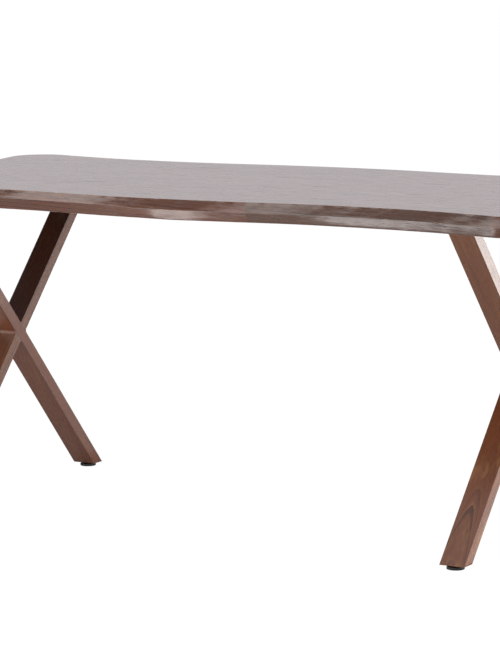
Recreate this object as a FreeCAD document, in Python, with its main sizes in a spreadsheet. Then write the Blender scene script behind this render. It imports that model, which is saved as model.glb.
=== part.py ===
import FreeCAD, Part
import os
import Sketcher
from FreeCAD import Placement, Rotation, Vector

# Dining table with a wavy top on two cross-legged frames, in millimetres.
# X runs along the length, -Y is the front, Z is up.
# The origin is on the floor under the middle of the top.

doc = FreeCAD.newDocument("sawbuck_table")
sheet = doc.addObject("Spreadsheet::Sheet", "sizes")

# Driving dimensions: name, value, meaning
driving = [
    ("table_length", 1800, "overall, from corner lobe to corner lobe"),
    ("table_width", 900, "overall, from corner lobe to corner lobe"),
    ("table_height", 750, "floor to top surface"),
    ("top_thickness", 44, "top surface to underside"),
    ("nose_drop", 22, "top surface down to the nose of the edge"),
    ("upper_bevel", 6, "upper arris in from the nose"),
    ("lower_bevel", 12, "lower arris in from the nose"),
    ("nose_round", 2, "rounding of the nose"),
    ("corner_radius", 80, "corner lobes at the nose"),
    ("wave_radius", 1432, "arcs of the long sides at the nose"),
    ("end_radius", 1432, "hollow arcs of the short ends at the nose"),
    ("waist_position", 440, "middle of the table to the middle of a side hollow"),
    ("veneer_thickness", 0.6, "face and backing veneer"),
    ("lipping_width", 34, "nose to the edge of the core panel"),
    ("tongue_depth", 8, "tongue of the lipping in the core's groove"),
    ("tongue_height", 10, "tongue of the lipping in the core's groove"),
    ("end_overhang", 235, "end of the table in to the middle of a cross frame"),
    ("leg_width", 58, "leg plank along the table's length"),
    ("leg_thickness", 27.5, "leg plank across its slope"),
    ("cross_height", 372.5, "floor to the middle of the crossing"),
    ("foot_reach", 324, "middle of the table to the middle of a foot"),
    ("foot_height", 9, "floor to the cut end of a leg"),
    ("notch_flat", 3, "depth of the blunt corner in the side notches"),
    ("dowel_diameter", 8, "dowels in the half-lap"),
    ("dowel_length", 40, "dowels in the half-lap"),
    ("dowel_spacing", 17, "between the two dowels of a half-lap"),
    ("dowel_end_room", 1, "hole beyond each end of a dowel"),
    ("glue_gap", 0.05, "round dowels and inserts, and round screws in steel"),
    ("plate_thickness", 5, "mounting plate"),
    ("plate_width", 110, "mounting plate along the table's length"),
    ("plate_inset", 2, "plate end in from the outer face of a leg"),
    ("bar_thickness", 5, "tongue of the mounting plate"),
    ("bar_width", 14, "tongue of the mounting plate across the leg's slope"),
    ("bar_drop", 60, "tongue of the mounting plate below the plate"),
    ("bar_gap", 0.2, "slot round the tongue of the mounting plate"),
    ("screw_diameter", 6, "cap screws through the legs"),
    ("screw_head_diameter", 10, "cap screws through the legs"),
    ("screw_head_height", 6, "cap screws through the legs"),
    ("screw_key", 5, "across the flats of the screw's socket"),
    ("screw_sink", 0.5, "screw head below the face of the leg"),
    ("screw_tip", 8, "screw beyond the middle of the tongue"),
    ("screw_first", 18, "leg end down to the upper screw"),
    ("screw_spacing", 25, "between the two screws of a leg end"),
    ("screw_gap", 0.3, "clearance round the screws in the legs"),
    ("bolt_diameter", 8, "bolts from the plate into the top"),
    ("bolt_head_diameter", 14, "bolts from the plate into the top"),
    ("bolt_head_height", 4.4, "bolts from the plate into the top"),
    ("bolt_key", 5, "across the flats of the bolt's socket"),
    ("bolt_gauge", 80, "between the two rows of bolts"),
    ("bolt_pitch", 190, "between the bolts of a row"),
    ("bolt_gap", 0.5, "clearance round the bolts in the plate and washers"),
    ("bolt_reach", 14, "bolt above the plate"),
    ("washer_diameter", 16, "washers under the bolt heads"),
    ("washer_thickness", 1.6, "washers under the bolt heads"),
    ("insert_diameter", 12, "threaded inserts in the core panel"),
    ("insert_length", 18, "threaded inserts in the core panel"),
    ("pad_diameter", 38, "levelling foot"),
    ("pad_rim", 5.6, "height of the levelling foot at its rim"),
    ("pad_hub_diameter", 18, "raised middle of the levelling foot"),
    ("pad_gap", 0.2, "foot to the flange above it when screwed home"),
    ("pad_floor", 3, "foot below the end of its stud"),
    ("pad_round", 1.2, "rounding of the foot's lower edge"),
    ("stud_diameter", 6, "threaded stud of the foot"),
    ("stud_gap", 0.05, "running clearance round the stud"),
    ("sleeve_diameter", 9, "threaded insert in the leg end"),
    ("sleeve_length", 10, "threaded insert in the leg end"),
    ("flange_diameter", 14, "flange of the insert in the leg end"),
    ("flange_thickness", 1, "flange of the insert in the leg end"),
    ("stud_end_room", 2, "hole above the stud and its insert"),
]

# Sizes that follow from the driving ones: name, formula, meaning
derived = [
    ("underside", "table_height - top_thickness", "floor to the underside of the top"),
    ("nose_height", "table_height - nose_drop", "floor to the nose"),
    ("lower_drop", "top_thickness - nose_drop", "nose down to the underside"),
    ("lip_top", "table_height - veneer_thickness", "floor to the top of the core and lippings"),
    ("lip_bottom", "underside + veneer_thickness", "floor to the bottom of the core and lippings"),
    ("lip_top_inset", "upper_bevel * (1 - veneer_thickness / nose_drop)", "lipping's top in from the nose"),
    ("lip_bottom_inset", "lower_bevel * (1 - veneer_thickness / lower_drop)",
     "lipping's bottom in from the nose"),
    ("groove_inset", "lipping_width + tongue_depth", "bottom of the core's groove in from the nose"),
    ("groove_bottom", "(table_height + underside - tongue_height) / 2", "floor to the tongue's lower side"),
    ("groove_top", "(table_height + underside + tongue_height) / 2", "floor to the tongue's upper side"),
    ("corner_x", "table_length / 2 - corner_radius", "centre of a corner arc"),
    ("corner_y", "table_width / 2 - corner_radius", "centre of a corner arc"),
    ("side_y", "corner_y + sqrt((wave_radius + corner_radius)^2 - (corner_x - waist_position)^2)",
     "centre of a side hollow"),
    ("middle_y", "side_y - sqrt((2 * wave_radius)^2 - waist_position^2)", "centre of a side's middle arc"),
    ("end_x", "corner_x + sqrt((end_radius + corner_radius)^2 - corner_y^2)", "centre of an end's arc"),
    ("middle_turn", "asin(waist_position / (2 * wave_radius))", "half of the middle arc"),
    ("side_turn", "atan((corner_x - waist_position) / (side_y - corner_y))", "outer part of a side hollow"),
    ("end_turn", "asin(corner_y / (end_radius + corner_radius))", "half of an end's arc"),
    ("frame_x", "table_length / 2 - end_overhang", "middle of the table to the middle of a cross frame"),
    ("leg_top", "underside - plate_thickness", "floor to the upper end of a leg"),
    ("leg_slope", "(cross_height - foot_height) / foot_reach", "rise of a leg over its run"),
    ("leg_stretch", "sqrt(1 + leg_slope^2)", "length of a leg over its run"),
    ("half_rise", "leg_thickness / 2 * leg_stretch", "half of a leg, measured upright"),
    ("half_run", "half_rise / leg_slope", "half of a leg, measured level"),
    ("top_reach", "(leg_top - cross_height) / leg_slope", "middle of the table to a leg's upper end"),
    ("bar_half_run", "bar_width / 2 * leg_stretch / leg_slope", "half of a plate's tongue, measured level"),
    ("slot_half_run", "bar_half_run + bar_gap * leg_stretch / leg_slope", "half of a slot, measured level"),
    ("pad_top", "foot_height - flange_thickness - pad_gap", "floor to the top of a foot"),
    ("stud_top", "foot_height + sleeve_length", "floor to the top of a stud"),
]

for row, (name, value, meaning) in enumerate(driving + derived, start=1):
    sheet.set(f"A{row}", name)
    sheet.set(f"B{row}", f"={value}" if isinstance(value, str) else str(value))
    sheet.set(f"C{row}", meaning)
    sheet.setAlias(f"B{row}", name)
doc.recompute()


def amount(formula):
    """The number that a formula on the sheet's names gives."""
    found = sheet.evalExpression(formula)
    return getattr(found, "Value", found)


def new_body(label, x="0", y="0", turn="0"):
    """A body whose own origin stands at x, y on the floor, turned about Z."""
    body = doc.addObject("PartDesign::Body", label)
    body.Label = label
    body.AllowCompound = True
    body.Placement = Placement(Vector(), Rotation(Vector(0, 0, 1), 0))
    body.setExpression("Placement.Base.x", x)
    body.setExpression("Placement.Base.y", y)
    body.setExpression("Placement.Rotation.Angle", turn)
    return body


def new_sketch(body, role, shift="0"):
    """A sketch on one of the body's own planes, moved along the plane's normal."""
    plane = [feature for feature in body.Origin.OriginFeatures if feature.Role == role][0]
    sketch = body.newObject("Sketcher::SketchObject", f"{body.Name}_sketch")
    sketch.AttachmentSupport = (plane, [""])
    sketch.MapMode = "FlatFace"
    sketch.setExpression("AttachmentOffset.Base.z", shift)
    return sketch


def bind(sketch, constraint, formula):
    """Adds a constraint whose size is a formula on the sheet's names."""
    sketch.addConstraint(Sketcher.Constraint(*constraint, amount(formula)))
    sketch.setExpression(f"Constraints[{sketch.ConstraintCount - 1}]", formula)


def bind_point(sketch, element, point, x, y):
    """Holds a point of a sketch element at x, y from the sketch's origin."""
    bind(sketch, ("DistanceX", -1, 1, element, point), x)
    bind(sketch, ("DistanceY", -1, 1, element, point), y)


def polygon(sketch, corners):
    """A closed outline of straight lines through corners given as formulas."""
    points = [Vector(amount(x), amount(y), 0) for x, y in corners]
    ends = points[1:] + points[:1]
    lines = [sketch.addGeometry(Part.LineSegment(a, b)) for a, b in zip(points, ends)]
    for line, following in zip(lines, lines[1:] + lines[:1]):
        sketch.addConstraint(Sketcher.Constraint("Coincident", line, 2, following, 1))
    for line, (x, y) in zip(lines, corners):
        bind_point(sketch, line, 1, x, y)


def circles(sketch, places, radius):
    """A circle at each place."""
    for x, y in places:
        centre = Vector(amount(x), amount(y), 0)
        ring = sketch.addGeometry(Part.Circle(centre, Vector(0, 0, 1), amount(radius)))
        bind_point(sketch, ring, 3, x, y)
        bind(sketch, ("Radius", ring), radius)


def hexagons(sketch, places, key):
    """A hexagon of the given width across its flats at each place."""
    for x, y in places:
        corner = f"({key}) / sqrt(3)"
        flat = f"({key}) / 2"
        steps = [("1", "0"), ("0.5", "1"), ("-0.5", "1"), ("-1", "0"), ("-0.5", "-1"), ("0.5", "-1")]
        polygon(sketch, [(f"{x} + {a} * {corner}", f"{y} + {b} * {flat}") for a, b in steps])


def pad(body, sketch, length, side="One side", down=False):
    """Adds the sketch's area, drawn out along its normal."""
    feature = body.newObject("PartDesign::Pad", f"{body.Name}_pad")
    feature.Profile = sketch
    feature.setExpression("Length", length)
    feature.SideType = side
    feature.Reversed = down
    return feature


def pocket(body, sketch, length, side="One side", along=False):
    """Cuts the sketch's area, against the plane's normal or along it."""
    feature = body.newObject("PartDesign::Pocket", f"{body.Name}_pocket")
    feature.Profile = sketch
    feature.setExpression("Length", length)
    feature.SideType = side
    feature.Reversed = along
    return feature


def revolve(body, sketch, angle):
    """Adds the sketch's area, turned about the body's Z, half to each side."""
    feature = body.newObject("PartDesign::Revolution", f"{body.Name}_revolution")
    feature.Profile = sketch
    feature.ReferenceAxis = (sketch, ["V_Axis"])
    feature.setExpression("Angle", angle)
    feature.Midplane = True
    return feature


def round_edges(body, feature, chosen, radius):
    """Rounds the edges of a feature that a test chooses."""
    doc.recompute()
    edges = feature.Shape.Edges
    names = [f"Edge{number}" for number, edge in enumerate(edges, start=1) if chosen(edge)]
    fillet = body.newObject("PartDesign::Fillet", f"{body.Name}_fillet")
    fillet.Base = (feature, names)
    fillet.setExpression("Radius", radius)
    return fillet


def is_arc_at(radius, height):
    """A test for arcs of a radius about the body's Z at a height."""
    def test(edge):
        curve = edge.Curve
        if not isinstance(curve, Part.Circle):
            return False
        return abs(curve.Radius - amount(radius)) < 1e-4 and abs(curve.Center.z - amount(height)) < 1e-4
    return test


def quarter_outline(sketch, inset):
    """A quarter of the top's outline, set in from the nose: four arcs that run smoothly together."""
    middle = Vector(0, amount("sizes.middle_y"), 0)
    side = Vector(amount("sizes.waist_position"), amount("sizes.side_y"), 0)
    corner = Vector(amount("sizes.corner_x"), amount("sizes.corner_y"), 0)
    end = Vector(amount("sizes.end_x"), 0, 0)
    middle_radius = amount(f"sizes.wave_radius - ({inset})")
    side_radius = amount(f"sizes.wave_radius + ({inset})")
    corner_radius = amount(f"sizes.corner_radius - ({inset})")
    end_radius = amount(f"sizes.end_radius + ({inset})")

    def toward(centre, target, radius):
        return centre + (target - centre).normalize() * radius

    def arc(centre, radius, first, last):
        circle = Part.Circle(centre, Vector(0, 0, 1), radius)
        return Part.ArcOfCircle(circle, circle.parameter(first), circle.parameter(last))

    top = middle + Vector(0, middle_radius, 0)
    middle_joint = toward(middle, side, middle_radius)
    side_joint = toward(side, corner, side_radius)
    corner_joint = toward(corner, end, corner_radius)
    tip = end - Vector(end_radius, 0, 0)
    lines = [Part.LineSegment(tip, Vector()), Part.LineSegment(Vector(), top)]
    # each arc runs anticlockwise about its own centre
    arcs = [arc(middle, middle_radius, middle_joint, top), arc(side, side_radius, middle_joint, side_joint),
            arc(corner, corner_radius, corner_joint, side_joint), arc(end, end_radius, corner_joint, tip)]
    across, upward = [sketch.addGeometry(line) for line in lines]
    first, second, third, fourth = [sketch.addGeometry(piece) for piece in arcs]
    join = [("Coincident", across, 2, -1, 1), ("Coincident", upward, 1, -1, 1),
            ("Coincident", across, 1, fourth, 2), ("Coincident", upward, 2, first, 2),
            ("Horizontal", across), ("Vertical", upward),
            ("PointOnObject", first, 3, -2), ("PointOnObject", fourth, 3, -1),
            ("Tangent", first, 1, second, 1), ("Tangent", second, 2, third, 2),
            ("Tangent", third, 1, fourth, 1)]
    for constraint in join:
        sketch.addConstraint(Sketcher.Constraint(*constraint))
    bind(sketch, ("Radius", first), f"sizes.wave_radius - ({inset})")
    bind(sketch, ("Radius", second), f"sizes.wave_radius + ({inset})")
    bind(sketch, ("Radius", third), f"sizes.corner_radius - ({inset})")
    bind(sketch, ("Radius", fourth), f"sizes.end_radius + ({inset})")
    bind_point(sketch, third, 3, "sizes.corner_x", "sizes.corner_y")
    bind(sketch, ("DistanceX", -1, 1, second, 3), "sizes.waist_position")


def mirrored_plate(body, layers):
    """Layers of the top's outline, each from one height to another, mirrored to all four quarters."""
    quarters = []
    for inset, bottom, top in layers:
        sketch = new_sketch(body, "XY_Plane", bottom)
        quarter_outline(sketch, inset)
        quarters.append(pad(body, sketch, f"{top} - {bottom}"))
    doc.recompute()
    whole = body.newObject("PartDesign::MultiTransform", f"{body.Name}_quarters")
    whole.Originals = quarters
    mirrors = []
    for role in ("YZ_Plane", "XZ_Plane"):
        plane = [feature for feature in body.Origin.OriginFeatures if feature.Role == role][0]
        mirror = body.newObject("PartDesign::Mirrored", f"{body.Name}_mirror")
        mirror.MirrorPlane = (plane, [""])
        mirrors.append(mirror)
    whole.Transformations = mirrors
    body.Tip = whole
    doc.recompute()
    return whole


# Places that several pieces share
sides = {"left": -1, "right": 1}
depths = {"front": -1, "back": 1}
bolt_rows = [(f"{across} * sizes.bolt_gauge / 2", f"{along} * sizes.bolt_pitch")
             for across in (-1, 1) for along in (-1, 0, 1)]
all_bolts = [(f"{side} * sizes.frame_x + {x}", y) for side in sides.values() for x, y in bolt_rows]


def leg_middle(height):
    """How far a leg's middle line is from the crossing at a height, towards its upper end."""
    return f"({height} - sizes.cross_height) / sizes.leg_slope"


screw_heights = [f"(sizes.leg_top - sizes.screw_first - {number} * sizes.screw_spacing)" for number in (0, 1)]
leg_screws = [(f"-1 * {leg_middle(height)}", height) for height in screw_heights]
dowel_places = [("0", f"sizes.cross_height + {way} * sizes.dowel_spacing / 2") for way in (-1, 1)]


# Table top: core panel with a groove round its edge, two veneers and twelve lippings
def make_core():
    body = new_body("top_core")
    mirrored_plate(body, [
        ("sizes.lipping_width", "sizes.lip_bottom", "sizes.groove_bottom"),
        ("sizes.groove_inset", "sizes.groove_bottom", "sizes.groove_top"),
        ("sizes.lipping_width", "sizes.groove_top", "sizes.lip_top")])
    holes = new_sketch(body, "XY_Plane", "sizes.underside")
    circles(holes, all_bolts, "sizes.insert_diameter / 2 + sizes.glue_gap")
    pocket(body, holes, "sizes.insert_length", along=True)
    return body


def make_face_veneer():
    body = new_body("top_face_veneer")
    mirrored_plate(body, [("sizes.upper_bevel", "sizes.lip_top", "sizes.table_height")])
    return body


def make_backing_veneer():
    body = new_body("top_backing_veneer")
    mirrored_plate(body, [("sizes.lower_bevel", "sizes.underside", "sizes.lip_bottom")])
    holes = new_sketch(body, "XY_Plane", "sizes.underside")
    circles(holes, all_bolts, "sizes.insert_diameter / 2 + sizes.glue_gap")
    pocket(body, holes, "sizes.veneer_thickness", along=True)
    return body


def make_lipping(label, x, y, turn, radius, span, hollow=False):
    """One arc of the edge: the two bevels, the nose and the tongue, turned about the arc's centre."""
    body = new_body(label, x, y, turn)
    inward = "+" if hollow else "-"
    outline = [("sizes.lip_top_inset", "sizes.lip_top"), ("0", "sizes.nose_height"),
               ("sizes.lip_bottom_inset", "sizes.lip_bottom"), ("sizes.lipping_width", "sizes.lip_bottom"),
               ("sizes.lipping_width", "sizes.groove_bottom"), ("sizes.groove_inset", "sizes.groove_bottom"),
               ("sizes.groove_inset", "sizes.groove_top"), ("sizes.lipping_width", "sizes.groove_top"),
               ("sizes.lipping_width", "sizes.lip_top")]
    section = new_sketch(body, "XZ_Plane")
    polygon(section, [(f"{radius} {inward} {inset}", height) for inset, height in outline])
    arc = revolve(body, section, span)
    round_edges(body, arc, is_arc_at(radius, "sizes.nose_height"), "sizes.nose_round")
    return body


def make_lippings():
    made = []
    hollow_span = "sizes.middle_turn + sizes.side_turn"
    hollow_middle = "(sizes.side_turn - sizes.middle_turn) / 2"
    corner_span = "90 deg + sizes.side_turn + sizes.end_turn"
    corner_middle = "(90 deg + sizes.side_turn - sizes.end_turn) / 2"
    for depth, away in depths.items():
        made.append(make_lipping(f"lipping_{depth}_middle", "0", f"{away} * sizes.middle_y",
                                 f"{away} * 90 deg", "sizes.wave_radius", "2 * sizes.middle_turn"))
        for side, right in sides.items():
            turn = f"{-away} * (90 deg - {right} * {hollow_middle})"
            made.append(make_lipping(f"lipping_{depth}_{side}", f"{right} * sizes.waist_position",
                                     f"{away} * sizes.side_y", turn,
                                     "sizes.wave_radius", hollow_span, hollow=True))
            turn = corner_middle if right > 0 else f"(180 deg - {corner_middle})"
            made.append(make_lipping(f"lipping_corner_{depth}_{side}", f"{right} * sizes.corner_x",
                                     f"{away} * sizes.corner_y", f"{away} * {turn}",
                                     "sizes.corner_radius", corner_span))
    for side, right in sides.items():
        turn = "180 deg" if right > 0 else "0 deg"
        made.append(make_lipping(f"lipping_{side}_end", f"{right} * sizes.end_x", "0", turn,
                                 "sizes.end_radius", "2 * sizes.end_turn", hollow=True))
    return made


# Cross frames: in each, two equal planks, one turned half round, are half-lapped at the crossing
def slope_strip(low, high, half, lean):
    """A strip along a leg's middle line, between two heights; lean is the side of its upper end."""
    corners = []
    for height, steps in ((high, (-1, 1)), (low, (1, -1))):
        for step in steps:
            corners.append((f"{lean} * {leg_middle(height)} + {step} * {half}", height))
    return corners


def make_leg(label, frame, turn):
    body = new_body(label, f"{frame} * sizes.frame_x", "0", turn)
    plank = new_sketch(body, "YZ_Plane")
    polygon(plank, slope_strip("sizes.foot_height", "sizes.leg_top", "sizes.half_run", -1))
    pad(body, plank, "sizes.leg_width", side="Symmetric")
    # blunt corners of the side notches, on the half where this plank runs through
    for way in (-1, 1):
        corner = new_sketch(body, "YZ_Plane")
        flat = f"{way} * (sizes.half_run + sizes.notch_flat)"
        rise = "sizes.notch_flat * sizes.leg_slope"
        polygon(corner, [(f"{way} * sizes.half_run", "sizes.cross_height"),
                         (flat, f"sizes.cross_height - {rise}"), (flat, f"sizes.cross_height + {rise}")])
        pad(body, corner, "sizes.leg_width / 2")
    lap = new_sketch(body, "YZ_Plane")
    polygon(lap, slope_strip("(sizes.cross_height - 3 * sizes.half_rise)",
                             "(sizes.cross_height + 3 * sizes.half_rise)", "sizes.half_run", 1))
    pocket(body, lap, "sizes.leg_width")
    dowels = new_sketch(body, "YZ_Plane")
    circles(dowels, dowel_places, "sizes.dowel_diameter / 2 + sizes.glue_gap")
    pocket(body, dowels, "sizes.dowel_length / 2 + sizes.dowel_end_room", along=True)
    slot = new_sketch(body, "YZ_Plane")
    polygon(slot, slope_strip("(sizes.leg_top - sizes.bar_drop - sizes.bar_gap)",
                              "(sizes.leg_top + sizes.bar_gap)", "sizes.slot_half_run", -1))
    pocket(body, slot, "sizes.bar_thickness + 2 * sizes.bar_gap", side="Symmetric")
    shanks = new_sketch(body, "YZ_Plane", "sizes.screw_tip + sizes.screw_gap")
    circles(shanks, leg_screws, "sizes.screw_diameter / 2 + sizes.screw_gap")
    pocket(body, shanks, "sizes.leg_width")
    heads = new_sketch(body, "YZ_Plane", "sizes.screw_head_height + sizes.screw_sink - sizes.leg_width / 2")
    circles(heads, leg_screws, "sizes.screw_head_diameter / 2 + sizes.screw_gap")
    pocket(body, heads, "sizes.leg_width")
    foot = new_sketch(body, "XY_Plane", "sizes.foot_height")
    circles(foot, [("0", "sizes.foot_reach")], "sizes.sleeve_diameter / 2 + sizes.glue_gap")
    pocket(body, foot, "sizes.sleeve_length + sizes.stud_end_room", along=True)
    return body


def make_dowels(label, frame):
    body = new_body(label, f"{frame} * sizes.frame_x")
    sketch = new_sketch(body, "YZ_Plane")
    circles(sketch, dowel_places, "sizes.dowel_diameter / 2")
    pad(body, sketch, "sizes.dowel_length", side="Symmetric")
    return body


# Fixings between a frame and the top
def make_plate(label, frame):
    body = new_body(label, f"{frame} * sizes.frame_x")
    half_width = "sizes.plate_width / 2"
    half_length = "(sizes.top_reach + sizes.half_run - sizes.plate_inset)"
    flat = new_sketch(body, "XY_Plane", "sizes.leg_top")
    corners = ((-1, -1), (1, -1), (1, 1), (-1, 1))
    polygon(flat, [(f"{a} * {half_width}", f"{b} * {half_length}") for a, b in corners])
    pad(body, flat, "sizes.plate_thickness")
    for lean in (-1, 1):
        bar = new_sketch(body, "YZ_Plane")
        bar_end = "(sizes.leg_top - sizes.bar_drop)"
        polygon(bar, slope_strip(bar_end, "sizes.leg_top", "sizes.bar_half_run", lean))
        pad(body, bar, "sizes.bar_thickness", side="Symmetric")
        holes = new_sketch(body, "YZ_Plane")
        circles(holes, [(f"{lean} * {leg_middle(height)}", height) for height in screw_heights],
                "sizes.screw_diameter / 2 + sizes.glue_gap")
        pocket(body, holes, "2 * sizes.bar_thickness", side="Symmetric")
    bolts = new_sketch(body, "XY_Plane", "sizes.leg_top")
    circles(bolts, bolt_rows, "sizes.bolt_diameter / 2 + sizes.bolt_gap")
    pocket(body, bolts, "sizes.plate_thickness", along=True)
    return body


def make_leg_screws(label, frame, turn):
    """The two cap screws of one leg end, with the leg's own placement."""
    body = new_body(label, f"{frame} * sizes.frame_x", "0", turn)
    under_head = "sizes.screw_head_height + sizes.screw_sink - sizes.leg_width / 2"
    heads = new_sketch(body, "YZ_Plane", under_head)
    circles(heads, leg_screws, "sizes.screw_head_diameter / 2")
    pad(body, heads, "sizes.screw_head_height", down=True)
    shanks = new_sketch(body, "YZ_Plane", under_head)
    circles(shanks, leg_screws, "sizes.screw_diameter / 2")
    pad(body, shanks, f"sizes.screw_tip - ({under_head})")
    sockets = new_sketch(body, "YZ_Plane", "sizes.screw_sink - sizes.leg_width / 2")
    hexagons(sockets, leg_screws, "sizes.screw_key")
    pocket(body, sockets, "sizes.screw_head_height / 2", along=True)
    return body


def make_bolts(label, frame):
    body = new_body(label, f"{frame} * sizes.frame_x")
    under_plate = "sizes.leg_top - sizes.washer_thickness"
    heads = new_sketch(body, "XY_Plane", under_plate)
    circles(heads, bolt_rows, "sizes.bolt_head_diameter / 2")
    pad(body, heads, "sizes.bolt_head_height", down=True)
    shanks = new_sketch(body, "XY_Plane", under_plate)
    circles(shanks, bolt_rows, "sizes.bolt_diameter / 2")
    pad(body, shanks, "sizes.washer_thickness + sizes.plate_thickness + sizes.bolt_reach")
    sockets = new_sketch(body, "XY_Plane", f"{under_plate} - sizes.bolt_head_height")
    hexagons(sockets, bolt_rows, "sizes.bolt_key")
    pocket(body, sockets, "sizes.bolt_head_height / 2", along=True)
    return body


def make_rings(label, frame, bottom, height, outer, inner):
    """Washers or threaded inserts: a round ring at each bolt."""
    body = new_body(label, f"{frame} * sizes.frame_x")
    sketch = new_sketch(body, "XY_Plane", bottom)
    circles(sketch, bolt_rows, outer)
    circles(sketch, bolt_rows, inner)
    pad(body, sketch, height)
    return body


# Levelling feet: an insert in the leg end, a stud that screws in it and a pad on the stud
def make_foot_insert(label, x, y):
    body = new_body(label, x, y)
    sleeve = new_sketch(body, "XY_Plane", "sizes.foot_height")
    circles(sleeve, [("0", "0")], "sizes.sleeve_diameter / 2")
    circles(sleeve, [("0", "0")], "sizes.stud_diameter / 2 + sizes.stud_gap")
    pad(body, sleeve, "sizes.sleeve_length")
    flange = new_sketch(body, "XY_Plane", "sizes.foot_height")
    circles(flange, [("0", "0")], "sizes.flange_diameter / 2")
    circles(flange, [("0", "0")], "sizes.stud_diameter / 2 + sizes.stud_gap")
    pad(body, flange, "sizes.flange_thickness", down=True)
    return body


def make_stud(label, x, y):
    body = new_body(label, x, y)
    sketch = new_sketch(body, "XY_Plane", "sizes.pad_floor")
    circles(sketch, [("0", "0")], "sizes.stud_diameter / 2")
    pad(body, sketch, "sizes.stud_top - sizes.pad_floor")
    return body


def make_pad(label, x, y):
    body = new_body(label, x, y)
    bore = "(sizes.stud_diameter / 2 + sizes.stud_gap)"
    section = new_sketch(body, "XZ_Plane")
    polygon(section, [("0", "0"), ("sizes.pad_diameter / 2", "0"),
                      ("sizes.pad_diameter / 2", "sizes.pad_rim"),
                      ("sizes.pad_hub_diameter / 2", "sizes.pad_top"), (bore, "sizes.pad_top"),
                      (bore, "sizes.pad_floor"), ("0", "sizes.pad_floor")])
    disc = revolve(body, section, "360 deg")
    round_edges(body, disc, is_arc_at("sizes.pad_diameter / 2", "0"), "sizes.pad_round")
    return body


pieces = [make_core(), make_face_veneer(), make_backing_veneer()] + make_lippings()
for side, right in sides.items():
    pieces.append(make_leg(f"{side}_leg_back_foot", right, "0 deg"))
    pieces.append(make_leg(f"{side}_leg_front_foot", right, "180 deg"))
    pieces.append(make_dowels(f"{side}_lap_dowels", right))
    pieces.append(make_plate(f"{side}_mounting_plate", right))
    pieces.append(make_leg_screws(f"{side}_front_leg_screws", right, "0 deg"))
    pieces.append(make_leg_screws(f"{side}_back_leg_screws", right, "180 deg"))
    pieces.append(make_bolts(f"{side}_top_bolts", right))
    pieces.append(make_rings(f"{side}_top_washers", right, "sizes.leg_top - sizes.washer_thickness",
                             "sizes.washer_thickness", "sizes.washer_diameter / 2",
                             "sizes.bolt_diameter / 2 + sizes.bolt_gap"))
    pieces.append(make_rings(f"{side}_top_inserts", right, "sizes.underside", "sizes.insert_length",
                             "sizes.insert_diameter / 2", "sizes.bolt_diameter / 2 + sizes.glue_gap"))
    for depth, away in depths.items():
        place = (f"{right} * sizes.frame_x", f"{away} * sizes.foot_reach")
        pieces.append(make_foot_insert(f"foot_insert_{depth}_{side}", *place))
        pieces.append(make_stud(f"foot_stud_{depth}_{side}", *place))
        pieces.append(make_pad(f"foot_pad_{depth}_{side}", *place))
doc.recompute()

# Nothing is written unless every object is sound
for item in doc.Objects:
    if "Invalid" in item.State or "Error" in item.State:
        raise RuntimeError(f"{item.Label} failed: {item.State}")
for piece in pieces:
    if piece.Shape.isNull() or not piece.Shape.isValid() or not piece.Shape.Solids:
        raise RuntimeError(f"{piece.Label} has no valid solid")

os.makedirs("parts", exist_ok=True)
for piece in pieces:
    piece.Shape.exportStep(f"parts/{piece.Label}.step")
    print(f"{piece.Label}: {len(piece.Shape.Solids)} solids, {piece.Shape.Volume / 1000:.2f} cm3")
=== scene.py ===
import math

import bmesh
import bpy
from mathutils import Matrix, Vector


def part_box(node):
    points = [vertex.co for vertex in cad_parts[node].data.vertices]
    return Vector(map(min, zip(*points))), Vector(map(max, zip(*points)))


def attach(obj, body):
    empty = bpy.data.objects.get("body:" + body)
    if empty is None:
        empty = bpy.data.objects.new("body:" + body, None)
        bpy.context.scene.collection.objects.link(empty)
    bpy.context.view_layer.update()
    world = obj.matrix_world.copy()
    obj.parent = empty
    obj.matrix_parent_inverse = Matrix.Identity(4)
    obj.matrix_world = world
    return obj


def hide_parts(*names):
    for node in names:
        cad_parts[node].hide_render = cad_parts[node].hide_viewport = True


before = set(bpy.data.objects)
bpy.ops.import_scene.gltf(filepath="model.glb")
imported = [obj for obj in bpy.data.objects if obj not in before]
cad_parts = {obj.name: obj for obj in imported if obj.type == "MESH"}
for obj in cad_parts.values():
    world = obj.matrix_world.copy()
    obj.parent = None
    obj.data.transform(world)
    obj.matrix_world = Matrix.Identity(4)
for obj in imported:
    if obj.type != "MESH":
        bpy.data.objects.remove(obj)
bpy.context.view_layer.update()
scene = bpy.context.scene
scene.view_settings.view_transform = "Standard"
print("frame loaded:", len(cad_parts), "nodes")


# camera at the photograph's viewing angle
cameraSet = {
    "place": (3.49302, -6.01241, 1.37002),
    "yaw": 30.250,
    "pitch": 7.868,
    "roll": -0.326,
    "lens": 168.673,
    "sensor": 36.0,
    "far": 200.0,
}


def makeCamera():
    data = bpy.data.cameras.new("camera")
    data.lens = cameraSet["lens"]
    data.sensor_width = cameraSet["sensor"]
    data.clip_end = cameraSet["far"]
    camera = bpy.data.objects.new("camera", data)
    scene.collection.objects.link(camera)
    turn = Matrix.Rotation(math.radians(cameraSet["yaw"]), 4, "Z")
    turn = turn @ Matrix.Rotation(math.radians(90 - cameraSet["pitch"]), 4, "X")
    turn = turn @ Matrix.Rotation(math.radians(cameraSet["roll"]), 4, "Z")
    camera.matrix_world = Matrix.Translation(cameraSet["place"]) @ turn
    scene.camera = camera


makeCamera()
print("camera set")


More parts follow.
